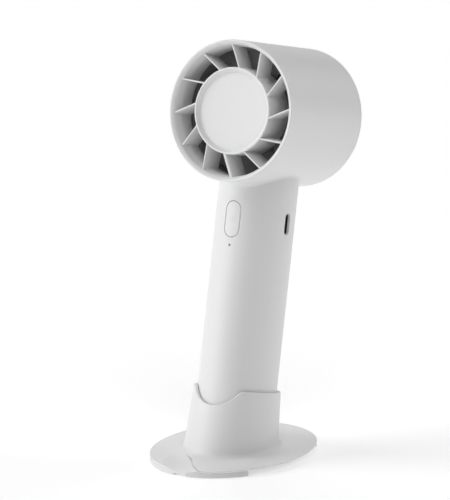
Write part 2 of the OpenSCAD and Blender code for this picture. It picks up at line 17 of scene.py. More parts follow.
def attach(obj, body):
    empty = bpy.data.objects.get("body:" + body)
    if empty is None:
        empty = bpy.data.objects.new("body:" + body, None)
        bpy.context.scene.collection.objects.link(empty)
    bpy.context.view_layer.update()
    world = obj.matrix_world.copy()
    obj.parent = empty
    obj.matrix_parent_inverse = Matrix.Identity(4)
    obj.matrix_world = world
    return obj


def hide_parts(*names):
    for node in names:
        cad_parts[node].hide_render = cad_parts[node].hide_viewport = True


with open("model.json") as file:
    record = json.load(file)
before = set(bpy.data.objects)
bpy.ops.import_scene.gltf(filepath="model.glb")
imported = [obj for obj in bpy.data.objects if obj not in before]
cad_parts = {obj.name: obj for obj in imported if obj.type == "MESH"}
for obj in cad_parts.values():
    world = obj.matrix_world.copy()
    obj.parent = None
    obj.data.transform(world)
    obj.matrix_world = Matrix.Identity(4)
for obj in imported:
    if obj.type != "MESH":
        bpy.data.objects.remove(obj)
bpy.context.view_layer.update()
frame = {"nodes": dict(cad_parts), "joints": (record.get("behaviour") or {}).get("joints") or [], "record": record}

# ---------------------------------------------------------------- frames

MM = 0.001
ROW = Matrix.Scale(MM, 4)
JOINTS = {joint["name"]: joint for joint in frame["joints"]}


def fan_frame():
    """The matrix from the fan's own frame, in millimetres, to the row frame, in metres."""
    back = Vector(JOINTS["impeller_spin"]["axis"])
    up = Vector(JOINTS["lift_out"]["axis"])
    turn = Matrix([back.cross(up), back, up]).transposed().to_4x4()
    return Matrix.Translation(JOINTS["impeller_spin"]["pos_m"]) @ turn @ ROW


FAN = fan_frame()


def local_box(node, place=FAN):
    """The lowest and highest corner of a CAD node, in the millimetres of the given frame."""
    inverse = np.array(place.inverted())
    points = np.array([vertex.co for vertex in frame["nodes"][node].data.vertices], float)
    points = points @ inverse[:3, :3].T + inverse[:3, 3]
    return points.min(0), points.max(0)


# ---------------------------------------------------------------- sizes

housing_low, housing_high = local_box("main_housing")
ring_high = local_box("duct_ring")[1]
inlet_low, inlet_high = local_box("inlet_liner")
hub_low, hub_high = local_box("fixed_hub")
cap_low, cap_high = local_box("bottom_cap")
dish_low, dish_high = local_box("hub_cap")
button_low, button_high = local_box("power_button")
pipe_low, pipe_high = local_box("light_pipe")
port_low, port_high = local_box("usb_shell")
grille_low, grille_high = local_box("rear_grille")
rotor_low, rotor_high = local_box("impeller_hub")
blade_low, blade_high = local_box("impeller_blades")
base_low, base_high = local_box("stand_base", ROW)
foot_high = local_box("stand_feet", ROW)[1]

HEAD_R = housing_high[0]
HEAD_FRONT = housing_low[1]
HEAD_BACK = housing_high[1]
BORE_R = ring_high[0]
HANDLE_HALF_X = cap_high[0]
HANDLE_HALF_Y = cap_high[1]
HANDLE_SPLIT_Z = housing_low[2]
HANDLE_BOTTOM_Z = cap_low[2]
HUB_R = hub_high[0]
DISH_R = dish_high[0]
VANE_FRONT = hub_low[1]

# Sizes that no node's box shows.
HANDLE_END_R = 14.5
WALL = 1.8
DUCT_R = 28.0

# ---------------------------------------------------------------- outlines


def arc_length_sampler(points):
    """A function from shares of a closed polyline's length to the points there."""
    points = np.vstack([points, points[:1]])
    steps = np.linalg.norm(np.diff(points, axis=0), axis=1)
    reach = np.concatenate([[0], np.cumsum(steps)])

    def at(shares):
        return np.stack([np.interp(shares * reach[-1], reach, column) for column in points.T], -1)

    return at


def arc_between(start, end, steps):
    """Points on the arc from one radius to another of the same length, from the arc's centre."""
    sweep = math.acos(np.clip(start @ end / (start @ start), -1, 1))
    arc = []
    for k in range(steps + 1):
        turn = k / steps * sweep
        arc.append((math.sin(sweep - turn) * start + math.sin(turn) * end) / math.sin(sweep))
    return arc


def quarter_turn(steps):
    """Evenly spaced angles from 0 to 90 degrees."""
    return np.linspace(0, math.pi / 2, steps + 1)


def rounded(corners, steps=6, closed=False):
    """A polyline through (x, y, radius) corners, each rounded by its own radius if it has one."""
    count = len(corners)
    points = []
    for i, (x, y, *radius) in enumerate(corners):
        if not any(radius) or (not closed and i in (0, count - 1)):
            points.append((x, y))
            continue
        at = np.array([x, y], float)
        before = corners[i - 1][:2] - at
        after = corners[(i + 1) % count][:2] - at
        before /= np.linalg.norm(before)
        after /= np.linalg.norm(after)
        half = math.acos(np.clip(before @ after, -1, 1)) / 2
        centre = at + (before + after) / np.linalg.norm(before + after) * radius[0] / math.sin(half)
        run = radius[0] / math.tan(half)
        arc = arc_between(at + before * run - centre, at + after * run - centre, steps)
        points += [tuple(centre + step) for step in arc]
    return points


# The handle's oval: two end arcs and two flatter side arcs that meet smoothly.
END_AT = HANDLE_HALF_Y - HANDLE_END_R
SIDE_SLACK = HANDLE_HALF_X - HANDLE_END_R
SIDE_AT = (END_AT**2 - SIDE_SLACK**2) / (2 * SIDE_SLACK)
SIDE_R = HANDLE_HALF_X + SIDE_AT
MEET_ANGLE = math.atan2(END_AT, SIDE_AT)
END_ARC = HANDLE_END_R * (math.pi / 2 - MEET_ANGLE)
QUARTER_LENGTH = END_ARC + SIDE_R * MEET_ANGLE
OVAL_LENGTH = 4 * QUARTER_LENGTH


def oval_at(length):
    """The oval's point and outward normal at an arc length from the front, first towards +X."""
    quadrant, along = divmod(length % OVAL_LENGTH, QUARTER_LENGTH)
    if quadrant % 2:
        along = QUARTER_LENGTH - along
    if along < END_ARC:
        angle = math.pi / 2 - along / HANDLE_END_R
        centre, radius = np.array([0, END_AT]), HANDLE_END_R
    else:
        angle = MEET_ANGLE - (along - END_ARC) / SIDE_R
        centre, radius = np.array([-SIDE_AT, 0]), SIDE_R
    normal = np.array([math.cos(angle), math.sin(angle)])
    mirror = np.array([1 if quadrant < 2 else -1, 1 if quadrant in (1, 2) else -1])
    return (centre + radius * normal) * mirror, normal * mirror


def oval(count):
    """Points and outward normals of the handle's oval, evenly spaced."""
    places = [oval_at(OVAL_LENGTH * i / count) for i in range(count)]
    return np.array([point for point, _ in places]), np.array([normal for _, normal in places])


def stadium(width, height, count):
    """An upright slot's outline with round ends, from its lowest point, first towards +u."""
    radius = width / 2
    straight = (height - width) / 2
    right = []
    for angle in np.linspace(0, math.pi, 60):
        middle = straight if angle > math.pi / 2 else -straight
        right.append((radius * math.sin(angle), middle - radius * math.cos(angle)))
    left = [(-x, y) for x, y in reversed(right)]
    return arc_length_sampler(right + left[1:-1])(np.arange(count) / count)


def circle_y(centre, radius, count=24):
    """A ring round a line along Y."""
    angles = np.arange(count) * 2 * math.pi / count
    return [(centre[0] + radius * math.cos(a), centre[1], centre[2] + radius * math.sin(a)) for a in angles]


# ---------------------------------------------------------------- patches: (points, faces)


def strip(loops):
    """Quads between each closed loop and the next."""
    loops = np.asarray(loops, float)
    rows, columns = loops.shape[:2]
    faces = []
    for r in range(rows - 1):
        for c in range(columns):
            d = (c + 1) % columns
            faces.append((r * columns + c, r * columns + d, (r + 1) * columns + d, (r + 1) * columns + c))
    return loops.reshape(-1, 3), faces


def fill(loop):
    """Triangles from a loop to its centre."""
    loop = np.asarray(loop, float)
    count = len(loop)
    return np.vstack([loop, [loop.mean(0)]]), [(i, (i + 1) % count, count) for i in range(count)]


def lathe(profile, segments=160, closed=True):
    """A profile of (radius, y) turned round the head's axis."""
    angles = np.arange(segments) * 2 * math.pi / segments
    across, up = np.sin(angles), -np.cos(angles)
    loops = [np.stack([radius * across, np.full(segments, y), radius * up], -1) for radius, y in profile]
    if closed:
        loops.append(loops[0])
    return strip(loops)


def tube(sections):
    """A closed solid through a row of sections."""
    return [strip(sections), fill(sections[0]), fill(sections[-1])]


def grid_patch(columns, rows, surface, blocks):
    """A closed band over a grid of (u, v) lines, without the cells of (c0, c1, r0, r1) blocks."""
    points = [surface(u, v) for v in rows for u in columns]
    width = len(columns)
    faces = []
    for r in range(len(rows) - 1):
        for c in range(width):
            if any((c - c0) % width < (c1 - c0) and r0 <= r < r1 for c0, c1, r0, r1 in blocks):
                continue
            d = (c + 1) % width
            faces.append((r * width + c, r * width + d, (r + 1) * width + d, (r + 1) * width + c))
    return np.array(points), faces


def block_border(columns, rows, block, period):
    """The (u, v) points round a block, from the middle of its first row, first towards +u."""
    c0, c1, r0, r1 = block
    width = len(columns)

    def u(c):
        return columns[c % width] + period * (c // width)

    middle = (c0 + c1) // 2
    low = [(u(c), rows[r0]) for c in range(middle, c1)]
    right = [(u(c1), rows[r]) for r in range(r0, r1)]
    high = [(u(c), rows[r1]) for c in range(c1, c0, -1)]
    left = [(u(c0), rows[r]) for r in range(r1, r0, -1)]
    start = [(u(c), rows[r0]) for c in range(c0, middle)]
    return np.array(low + right + high + left + start)


def ring_patch(border, hole, surface, steps=5):
    """Rings of quads on a surface, from a block's border in to a hole, closer together near the hole."""
    loops = []
    for k in range(steps + 1):
        share = 1 - (1 - k / steps) ** 1.5
        loops.append([surface(u, v) for u, v in border + (hole - border) * share])
    return strip(loops)


# ---------------------------------------------------------------- meshes


def make_mesh(name, patches, place):
    """An object from patches: merged, without loose points, and with its faces turned outwards."""
    points, faces = [], []
    offset = 0
    for patch_points, patch_faces in patches:
        points.append(patch_points)
        faces += [tuple(offset + i for i in face) for face in patch_faces]
        offset += len(patch_points)
    mesh = bpy.data.meshes.new(name)
    mesh.from_pydata(np.vstack(points).tolist(), [], faces)
    work = bmesh.new()
    work.from_mesh(mesh)
    bmesh.ops.remove_doubles(work, verts=work.verts, dist=0.002)
    bmesh.ops.dissolve_degenerate(work, edges=work.edges, dist=0.001)
    bmesh.ops.delete(work, geom=[vert for vert in work.verts if not vert.link_faces], context="VERTS")
    bmesh.ops.recalc_face_normals(work, faces=work.faces)
    work.to_mesh(mesh)
    work.free()
    mesh.transform(place)
    piece = bpy.data.objects.new(name, mesh)
    bpy.context.scene.collection.objects.link(piece)
    return piece


def shade(piece, sharp=40):
    """Smooth shading, but for the edges sharper than an angle."""
    piece.data.shade_smooth()
    piece.data.set_sharp_from_angle(angle=math.radians(sharp))


def build(name, patches, place, body, slot, replaces=(), look=None):
    """One visible piece from its patches, in its slot's material or in another look."""
    piece = make_mesh(name, patches, place)
    shade(piece)
    piece.data.materials.append(materials[look or slot])
    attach(piece, body)
    if replaces:
        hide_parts(*replaces)
    return piece


def carve(piece, cutter):
    """Cuts one mesh out of another, which may overlap itself, and deletes the cutter."""
    cut = piece.modifiers.new("carve", "BOOLEAN")
    cut.operation = "DIFFERENCE"
    cut.solver = "EXACT"
    cut.use_self = True
    cut.object = cutter
    bpy.context.view_layer.update()
    shape = bpy.data.meshes.new_from_object(piece.evaluated_get(bpy.context.evaluated_depsgraph_get()))
    piece.modifiers.remove(cut)
    work = bmesh.new()
    work.from_mesh(shape)
    bmesh.ops.remove_doubles(work, verts=work.verts, dist=0.001 * MM)
    bmesh.ops.dissolve_degenerate(work, edges=work.edges, dist=0.001 * MM)
    work.to_mesh(shape)
    work.free()
    piece.data = shape
    shade(piece)
    bpy.data.objects.remove(cutter)


# ---------------------------------------------------------------- materials


class Nodes:
    """A material's nodes, with its Principled shader."""

    def __init__(self, name, color, roughness, **inputs):
        self.material = bpy.data.materials.new(name)
        self.material.use_nodes = True
        self.tree = self.material.node_tree
        self.shader = self.tree.nodes["Principled BSDF"]
        self.shader.inputs["Base Color"].default_value = (*color, 1)
        self.shader.inputs["Roughness"].default_value = roughness
        for key, value in inputs.items():
            self.shader.inputs[key.replace("_", " ")].default_value = value
        self.coordinates = self.add("ShaderNodeTexCoord").outputs["Object"]

    def add(self, kind, **inputs):
        """A new node, with each input linked or set."""
        node = self.tree.nodes.new(kind)
        for key, value in inputs.items():
            socket = node.inputs[key.replace("_", " ")]
            if isinstance(value, bpy.types.NodeSocket):
                self.tree.links.new(value, socket)
            else:
                socket.default_value = value
        return node

    def noise(self, scale, detail=2.0):
        """A noise value in the piece's own coordinates."""
        node = self.add("ShaderNodeTexNoise", Vector=self.coordinates, Scale=scale, Detail=detail)
        return node.outputs["Fac"]

    def spread(self, value, low, high):
        """A value that runs from 0 to 1 mapped to a range."""
        node = self.add("ShaderNodeMapRange", Value=value)
        node.inputs["To Min"].default_value = low
        node.inputs["To Max"].default_value = high
        return node.outputs["Result"]

    def tint(self, value, color_a, color_b):
        """A base colour between two, by a value from 0 to 1."""
        node = self.tree.nodes.new("ShaderNodeMix")
        node.data_type = "RGBA"
        self.tree.links.new(value, node.inputs["Factor"])
        node.inputs["A"].default_value = (*color_a, 1)
        node.inputs["B"].default_value = (*color_b, 1)
        self.tree.links.new(node.outputs["Result"], self.shader.inputs["Base Color"])

    def roughen(self, value, low, high):
        """A roughness between two, by a value from 0 to 1."""
        self.tree.links.new(self.spread(value, low, high), self.shader.inputs["Roughness"])

    def bump(self, value, strength, distance):
        """A relief of the given height in metres."""
        node = self.add("ShaderNodeBump", Height=value, Strength=strength, Distance=distance)
        self.tree.links.new(node.outputs["Normal"], self.shader.inputs["Normal"])


def moulded_plastic(name, color, roughness=0.42, grain=2600):
    """Moulded plastic: a fine spark-eroded grain, slow flow marks and a hint of uneven gloss."""
    grain_height = 0.00002
    variation = 0.012
    nodes = Nodes(name, color, roughness, Specular_IOR_Level=0.5)
    darker = [c * (1 - variation) for c in color]
    lighter = [min(1, c * (1 + variation)) for c in color]
    nodes.tint(nodes.noise(40, 3), darker, lighter)
    nodes.roughen(nodes.noise(220, 4), roughness - 0.05, roughness + 0.05)
    nodes.bump(nodes.noise(grain, 2), 0.35, grain_height)
    return nodes.material


def metal(name, color, roughness):
    """Machined or rolled metal with a fine streaked grain."""
    streak_scale = 3600.0
    streak_stretch = (1, 0.08, 1)
    streak_height = 0.00001
    nodes = Nodes(name, color, roughness, Metallic=1.0)
    stretch = nodes.add("ShaderNodeMapping", Vector=nodes.coordinates)
    stretch.inputs["Scale"].default_value = streak_stretch
    stretched = stretch.outputs["Vector"]
    texture = nodes.add("ShaderNodeTexNoise", Vector=stretched, Scale=streak_scale, Detail=3.0)
    streaks = texture.outputs["Fac"]
    nodes.tint(nodes.noise(150), [c * 0.88 for c in color], color)
    nodes.roughen(streaks, roughness - 0.08, roughness + 0.12)
    nodes.bump(streaks, 0.2, streak_height)
    return nodes.material


WHITE = (0.80, 0.80, 0.805)

# colour, roughness and grain scale, where they aren't the usual ones
PLASTICS = {
    "housing_white": (WHITE,),
    "stand_white": (WHITE,),
    "button_white": (WHITE, 0.36, 3400),
    "mark_grey": ((0.70, 0.70, 0.71), 0.45, 3400),
    "feet_silicone": ((0.74, 0.74, 0.74), 0.62, 1500),
    "inner_plastic": ((0.72, 0.72, 0.72), 0.5),
    # mid grey of the rotor and the ring round it: painted shade that darkens the deep duct behind the vanes
    "dark_plastic": ((0.3, 0.3, 0.31), 0.5),
    "black_plastic": ((0.02, 0.02, 0.022), 0.4),
    "wire_sleeve": ((0.08, 0.08, 0.085), 0.35),
    "battery_wrap": ((0.08, 0.25, 0.45), 0.25),
    "circuit_board": ((0.03, 0.18, 0.09), 0.25, 5000),
    "magnet": ((0.05, 0.05, 0.055), 0.5, 3000),
    "clear_plastic": ((0.2, 0.205, 0.21), 0.25),
}

# colour and roughness
METALS = {
    "steel": ((0.66, 0.67, 0.69), 0.25),
    "bearing_steel": ((0.6, 0.61, 0.63), 0.25),
    "core_steel": ((0.32, 0.33, 0.36), 0.45),
    "port_steel": ((0.1, 0.1, 0.105), 0.45),
    "brass": ((0.75, 0.56, 0.26), 0.3),
    "copper": ((0.7, 0.32, 0.14), 0.35),
    "nickel": ((0.68, 0.67, 0.62), 0.3),
}

materials = {name: moulded_plastic(name, *look) for name, look in PLASTICS.items()}
materials |= {name: metal(name, *look) for name, look in METALS.items()}

# ---------------------------------------------------------------- housing

DRUM_COLUMNS = 160
HANDLE_COLUMNS = 160
BLOCK_HALF = 20
DRUM_ROWS = HANDLE_COLUMNS // 2 - 2 * BLOCK_HALF
LIP_R = 0.3
LIP_SLOPE = 0.95 / 1.55
BORE_FIT = 0.05
JUNCTION_R = 2.6
HANDLE_TOP = -35.0
CONTROLS_END = -60.0
HOLE_EDGE_R = 0.18
BUTTON_FLANGE = 0.6
BUTTON_GAP = 0.2
LIGHT_D = 0.94
LIGHT_DEPTH = 1.2
PORT_W = 3.5
PORT_H = 9.3
INSIDE_RISE = 20

button_z = (button_low[2] + button_high[2]) / 2
button_w = button_high[0] - button_low[0] - 2 * BUTTON_FLANGE
button_h = button_high[2] - button_low[2] - 2 * BUTTON_FLANGE
port_z = (port_low[2] + port_high[2]) / 2
port_y = (port_low[1] + port_high[1]) / 2
light_z = (pipe_low[2] + pipe_high[2]) / 2


def lip_depth(radius):
    """Where the sloped front lip is at a radius."""
    return HEAD_FRONT + (HEAD_R - LIP_R - radius) * LIP_SLOPE


def drum_point(theta, y):
    """The drum's surface at an angle from its lowest line, towards +X."""
    return (HEAD_R * math.sin(theta), y, -HEAD_R * math.cos(theta))


def handle_point(u, z, depth=0.0):
    """The handle's surface at an arc length from its front line, sunk in a direction that turns evenly
    with the arc length, which is close to the surface's normal."""
    x, y = oval_at(u)[0]
    turn = 2 * math.pi * u / OVAL_LENGTH
    return (x - depth * math.sin(turn), y + depth * math.cos(turn), z)


def junction():
    """The fillet between drum and handle: its upper edge on the drum, and its rings from there down."""
    reach = HEAD_R + JUNCTION_R
    arcs = []
    on_drum = []
    for (x, y), (nx, ny) in zip(*oval(HANDLE_COLUMNS)):
        cx, cy = x + JUNCTION_R * nx, y + JUNCTION_R * ny
        centre = np.array([cx, cy, -math.sqrt(reach**2 - cx**2)])
        to_drum = -JUNCTION_R / reach * centre * [1, 0, 1]
        to_handle = -JUNCTION_R * np.array([nx, ny, 0])
        arcs.append([centre + step for step in arc_between(to_drum, to_handle, 7)])
        on_drum.append((math.asin(arcs[-1][0][0] / HEAD_R), cy))
    return np.array(on_drum), np.swapaxes(np.array(arcs), 0, 1)


def drum(fillet_edge):
    """The drum's skin round the fillet's upper edge, its two rounded rims and its bore."""
    columns = np.arange(DRUM_COLUMNS) * 2 * math.pi / DRUM_COLUMNS
    rows = np.linspace(HEAD_FRONT + LIP_R, HEAD_BACK - LIP_R, DRUM_ROWS + 1)
    block = (-BLOCK_HALF, BLOCK_HALF, 0, DRUM_ROWS)
    border = block_border(columns, rows, block, 2 * math.pi)
    bore = BORE_R + BORE_FIT
    rims = rounded([
        (HEAD_R, 0), (HEAD_R, HEAD_BACK, LIP_R), (bore, HEAD_BACK, 0.35), (bore, lip_depth(BORE_R), 0.02),
        (HEAD_R - 0.05, HEAD_FRONT, LIP_R), (HEAD_R, HEAD_FRONT + 5)])
    # Both rims end on the skin's outermost rows.
    rims = rims[1:-2] + [(HEAD_R, rows[0])]
    return [
        grid_patch(columns, rows, drum_point, [block]),
        ring_patch(border, fillet_edge, drum_point, 8),
        lathe(rims, DRUM_COLUMNS, closed=False),
    ]


def opening(centre, width, height, count, depth):
    """A slot in the handle: its outline in (u, z) just outside the edge, from its highest point, and
    the rings of its rounded edge and its wall."""
    outline = stadium(width + 2 * HOLE_EDGE_R, height + 2 * HOLE_EDGE_R, count) * [1, -1] + centre
    rings = []
    for a in quarter_turn(5):
        spread = HOLE_EDGE_R * (1 - math.sin(a))
        loop = stadium(width + 2 * spread, height + 2 * spread, count) + centre
        rings.append([handle_point(u, z, HOLE_EDGE_R * (1 - math.cos(a))) for u, z in loop])
    rings.append([handle_point(u, z, depth) for u, z in stadium(width, height, count) + centre])
    return outline, strip(rings)


def handle(fillet_end):
    """The handle below the fillet, with its three openings and its lower edge, which is turned in."""
    columns = np.arange(HANDLE_COLUMNS) * OVAL_LENGTH / HANDLE_COLUMNS
    level = np.array([handle_point(u, HANDLE_TOP) for u in columns])
    patches = [strip([fillet_end + (level - fillet_end) * share for share in np.linspace(0, 1, 7)])]

    # The rows run downwards: one a millimetre along the controls, then wider ones.
    fine_rows = np.arange(HANDLE_TOP, CONTROLS_END - 1, -1)
    rows = [*fine_rows, *np.linspace(CONTROLS_END - 2, HANDLE_SPLIT_Z, 25)]
    quarter = HANDLE_COLUMNS // 4
    openings = [
        ((0, button_z), button_w + 2 * BUTTON_GAP, button_h + 2 * BUTTON_GAP, WALL, (-9, 9, 1, 20)),
        ((0, light_z), LIGHT_D, LIGHT_D, LIGHT_DEPTH, (-3, 3, 20, 24)),
        ((OVAL_LENGTH / 4 + port_y, port_z), PORT_W, PORT_H, WALL, (quarter - 5, quarter + 6, 4, 18)),
    ]
    for centre, width, height, depth, block in openings:
        border = block_border(columns, rows, block, OVAL_LENGTH)
        outline, rings = opening(centre, width, height, len(border), depth)
        patches += [ring_patch(border, outline, handle_point), rings]
    patches.append(grid_patch(columns, rows, handle_point, [block for *_, block in openings]))

    points, normals = oval(HANDLE_COLUMNS)
    edge = []
    for inset, rise in ((0, 0), (0.15, -0.02), (WALL, 0), (WALL, INSIDE_RISE)):
        edge.append([(x, y, HANDLE_SPLIT_Z + rise) for x, y in points - normals * inset])
    return patches + [strip(edge)]


def housing():
    """Drum and handle in one skin."""
    fillet_edge, fillet = junction()
    patches = drum(fillet_edge) + [strip(fillet)] + handle(fillet[-1])
    build("housing", patches, FAN, "fan", "housing_white", ["main_housing"])


housing()

# ---------------------------------------------------------------- duct, vanes and hub

SEAM = 0.02
THROAT_R = 27.3
VANE_COUNT = 12
VANE_PHASE = -4.7
VANE_SWEEP = 11.2
VANE_T = 0.7
LEAD_VANE = 9
LEAD_VANE_T = 1.6
VANE_CHORD = local_box("guide_vanes")[1][1] - VANE_FRONT
VANE_LEAN = 0.04
VANE_SINK = 0.06
VANE_ROOT = 0.25
VANE_TIP = 0.2
WEB_T = 1.6
HUB_WALL = 1.3
TUBE_BORE_R = 4.05
POST_RING_R = 13.0
POST_R = 1.4
POST_FRONT = -19.95


def duct_ring():
    """The flared ring that the vanes end in."""
    back = ring_high[1]
    flare_r = DUCT_R + 0.15
    profile = rounded([
        (THROAT_R, back, 0.1), (BORE_R, back, 0.05), (BORE_R, lip_depth(BORE_R), 0.02),
        (flare_r, lip_depth(flare_r), 1.5), (THROAT_R + 0.1, HEAD_FRONT + 5.5, 6)], steps=8, closed=True)
    build("duct_ring", [lathe(profile)], FAN, "fan", "housing_white", ["duct_ring"])


def inlet_liner():
    """The ring round the rotor, in a grey that is painted shade of the deep duct."""
    front, back = inlet_low[1], inlet_high[1]
    profile = rounded([
        (DUCT_R, front, 0.1), (BORE_R, front, 0.05), (BORE_R, back, 0.2), (DUCT_R, back, 0.2)], closed=True)
    build("inlet_liner", [lathe(profile)], FAN, "fan", "dark_plastic", ["inlet_liner"])


def fixed_hub():
    """The hub with its bead and dished front, its web and the three posts of the motor's board."""
    back = hub_high[1]
    seat = dish_low[1]
    floor = dish_high[1] + 0.1
    inside_r = HUB_R - HUB_WALL
    profile = rounded([
        (HUB_R, back, 0.2), (HUB_R, VANE_FRONT, 0.38), (HUB_R - 0.78, VANE_FRONT, 0.32),
        (DISH_R + 0.45, seat, 0.8), (DISH_R + SEAM, seat, 0.01), (DISH_R + SEAM, floor), (inside_r, floor),
        (inside_r, back - WEB_T, 0.3), (TUBE_BORE_R, back - WEB_T), (TUBE_BORE_R, back)], closed=True)
    patches = [lathe(profile)]
    for k in range(3):
        angle = math.radians(90 + 120 * k)
        x, z = POST_RING_R * math.cos(angle), POST_RING_R * math.sin(angle)
        patches += tube([circle_y((x, y, z), POST_R) for y in (POST_FRONT, back - WEB_T + 0.1)])
    build("fixed_hub", patches, FAN, "fan", "housing_white", ["fixed_hub"])


def hub_cap():
    """The disc in the hub, dished by less than half a millimetre."""
    front, back = dish_low[1], dish_high[1]
    dish = [(DISH_R * share, front + 0.4 * (1 - share**2)) for share in np.arange(8) / 8]
    rim = rounded([(DISH_R * 0.93, front + 0.05), (DISH_R, front, 0.02), (DISH_R, back, 0.1), (0, back)])
    build("hub_cap", [lathe(dish + rim[1:], closed=False)], FAN, "fan", "housing_white", ["hub_cap"])


def vane_sections(thickness):
    """Sections of a vane that starts at angle 0, from the hub out to the duct ring."""
    sweep = math.radians(VANE_SWEEP)
    inner = np.array([HUB_R - VANE_ROOT, 0])
    outer = np.array([math.cos(sweep), math.sin(sweep)]) * (DUCT_R + VANE_TIP)
    run = (outer - inner) / np.linalg.norm(outer - inner)
    side = np.array([-run[1], run[0]])
    half = thickness / 2
    outline = rounded([
        (0, -half, half * 0.95), (VANE_CHORD, -half, half * 0.8), (VANE_CHORD, half, half * 0.8),
        (0, half, half * 0.95)], closed=True)
    sections = []
    for share in np.linspace(0, 1, 9):
        at = inner + (outer - inner) * share
        section = []
        for along, across in outline:
            x, z = at + side * (across + VANE_LEAN * along)
            section.append((x, VANE_FRONT + VANE_SINK + along, z))
        sections.append(section)
    return sections


def turned(sections, angle):
    """Sections turned about the head's axis, counter-clockwise seen from the front."""
    c, s = math.cos(math.radians(angle)), math.sin(math.radians(angle))
    return [[(x * c - z * s, y, x * s + z * c) for x, y, z in section] for section in sections]


def guide_vanes():
    """The fixed vanes, of which one is thicker because it hides the motor's leads."""
    patches = []
    for k in range(VANE_COUNT):
        sections = vane_sections(LEAD_VANE_T if k == LEAD_VANE else VANE_T)
        patches += tube(turned(sections, VANE_PHASE + k * 360 / VANE_COUNT))
    build("guide_vanes", patches, FAN, "fan", "housing_white", ["guide_vanes"])


duct_ring()
inlet_liner()
fixed_hub()
hub_cap()
guide_vanes()

# ---------------------------------------------------------------- button and bottom cap

BUTTON_SINK = 0.05
BUTTON_EDGE_R = 0.35
BUTTON_DEPTH = 3.2
STEM_R = 1.5
STEM_FRONT = -15.9
CAP_EDGE_R = 0.9
CAP_SEAM = 0.03
CAP_FIT = 0.06
CAP_SCREW_Y = 6.0
RECESS_R = 1.9
RECESS_DEPTH = 1.4


def button():
    """The long button, which follows the handle's curve, and the stem behind it."""
    centre = np.array([0, button_z])
    count = 96
    face = stadium(button_w - 2 * BUTTON_EDGE_R, button_h - 2 * BUTTON_EDGE_R, count)
    loops = []
    for scale in (0.0, 0.25, 0.5, 0.75, 0.93):
        loops.append([handle_point(u, z, BUTTON_SINK) for u, z in face * scale + centre])
    for a in quarter_turn(5):
        inset = BUTTON_EDGE_R * (1 - math.sin(a))
        loop = stadium(button_w - 2 * inset, button_h - 2 * inset, count) + centre
        loops.append([handle_point(u, z, BUTTON_SINK + BUTTON_EDGE_R * (1 - math.cos(a))) for u, z in loop])
    side = stadium(button_w, button_h, count) + centre
    loops.append([handle_point(u, z, BUTTON_DEPTH) for u, z in side])
    patches = [strip(loops), fill(loops[-1])]
    patches += tube([circle_y((0, y, button_z), STEM_R) for y in (STEM_FRONT, button_high[1])])
    build("power_button", patches, FAN, "button", "button_white", ["power_button"])


def power_mark():
    """A generic power mark on the button: a ring with a gap at its top, and a bar in the gap."""
    radius = 1.15
    half = 0.11
    gap = 34
    lift = BUTTON_SINK - 0.015
    sink = BUTTON_SINK + 0.045
    arc = np.radians(np.linspace(90 + gap, 450 - gap, 49))
    ring = [[(r * math.cos(a), r * math.sin(a)) for a in arc] for r in (radius - half, radius + half)]
    bar = [[(x, z) for z in np.linspace(0.1, radius + 0.25, 5)] for x in (-half, half)]
    patches = []
    for shape in (ring, bar):
        top = [[handle_point(x, z + button_z, lift) for x, z in line] for line in shape]
        bottom = [[handle_point(x, z + button_z, sink) for x, z in line] for line in shape]
        patches += tube(list(zip(*top, *reversed(bottom))))
    build("power_mark", patches, FAN, "button", "button_white", look="mark_grey")


def bottom_cap():
    """The cap that closes the handle's lower end, with two screws in counterbores."""
    points, normals = oval(HANDLE_COLUMNS)
    seam = HANDLE_SPLIT_Z - CAP_SEAM
    plug_inset = WALL + CAP_FIT
    profile = rounded([
        (HANDLE_HALF_X, HANDLE_BOTTOM_Z), (0, HANDLE_BOTTOM_Z, CAP_EDGE_R), (0, seam, 0.12),
        (plug_inset, seam), (plug_inset, cap_high[2])])[1:]
    loops = [[(x, y, z) for x, y in points - normals * inset] for inset, z in profile]
    patches = [fill(loops[0]), strip(loops), fill(loops[-1])]
    piece = build("bottom_cap", patches, FAN, "fan", "housing_white", ["bottom_cap"])
    for y in (-CAP_SCREW_Y, CAP_SCREW_Y):
        carve(piece, screw_recess(y))


def screw_recess(y):
    """A loose cylinder to cut a cap screw's counterbore with, from 1 mm below the cap upwards."""
    angles = np.arange(40) * math.pi / 20
    loops = []
    for z in (HANDLE_BOTTOM_Z - 1, HANDLE_BOTTOM_Z + RECESS_DEPTH):
        loops.append([(RECESS_R * math.cos(a), y + RECESS_R * math.sin(a), z) for a in angles])
    return make_mesh("recess", tube(loops), FAN)


button()
power_mark()
bottom_cap()

# ---------------------------------------------------------------- rear grille and rotor

GRILLE_RINGS = (9.0, 15.2, 21.5)
GRILLE_RING_W = 1.1
GRILLE_SPOKES = 36
GRILLE_SPOKE_W = 1.0
GRILLE_T = 2.0
GRILLE_R = 27.0
GRILLE_BOSS_R = 5.2
BLADE_COUNT = 13
BLADE_SINK = 0.4
BLADE_T = 1.0
BLADE_CAMBER = 0.11
ROTOR_WALL = 1.2
SHAFT_FIT_R = 1.05
CAN_FIT_R = 13.05
CAN_BACK = 2.25
POCKET_R = 14.2
POCKET_BACK = 2.9


def bar_profile(radius, width, front, back):
    """A round-edged rectangle to turn into a ring of the grille."""
    half = width / 2
    edge = min(half, (back - front) / 2) * 0.7
    return rounded([
        (radius - half, front, edge), (radius + half, front, edge), (radius + half, back, edge),
        (radius - half, back, edge)], steps=4, closed=True)


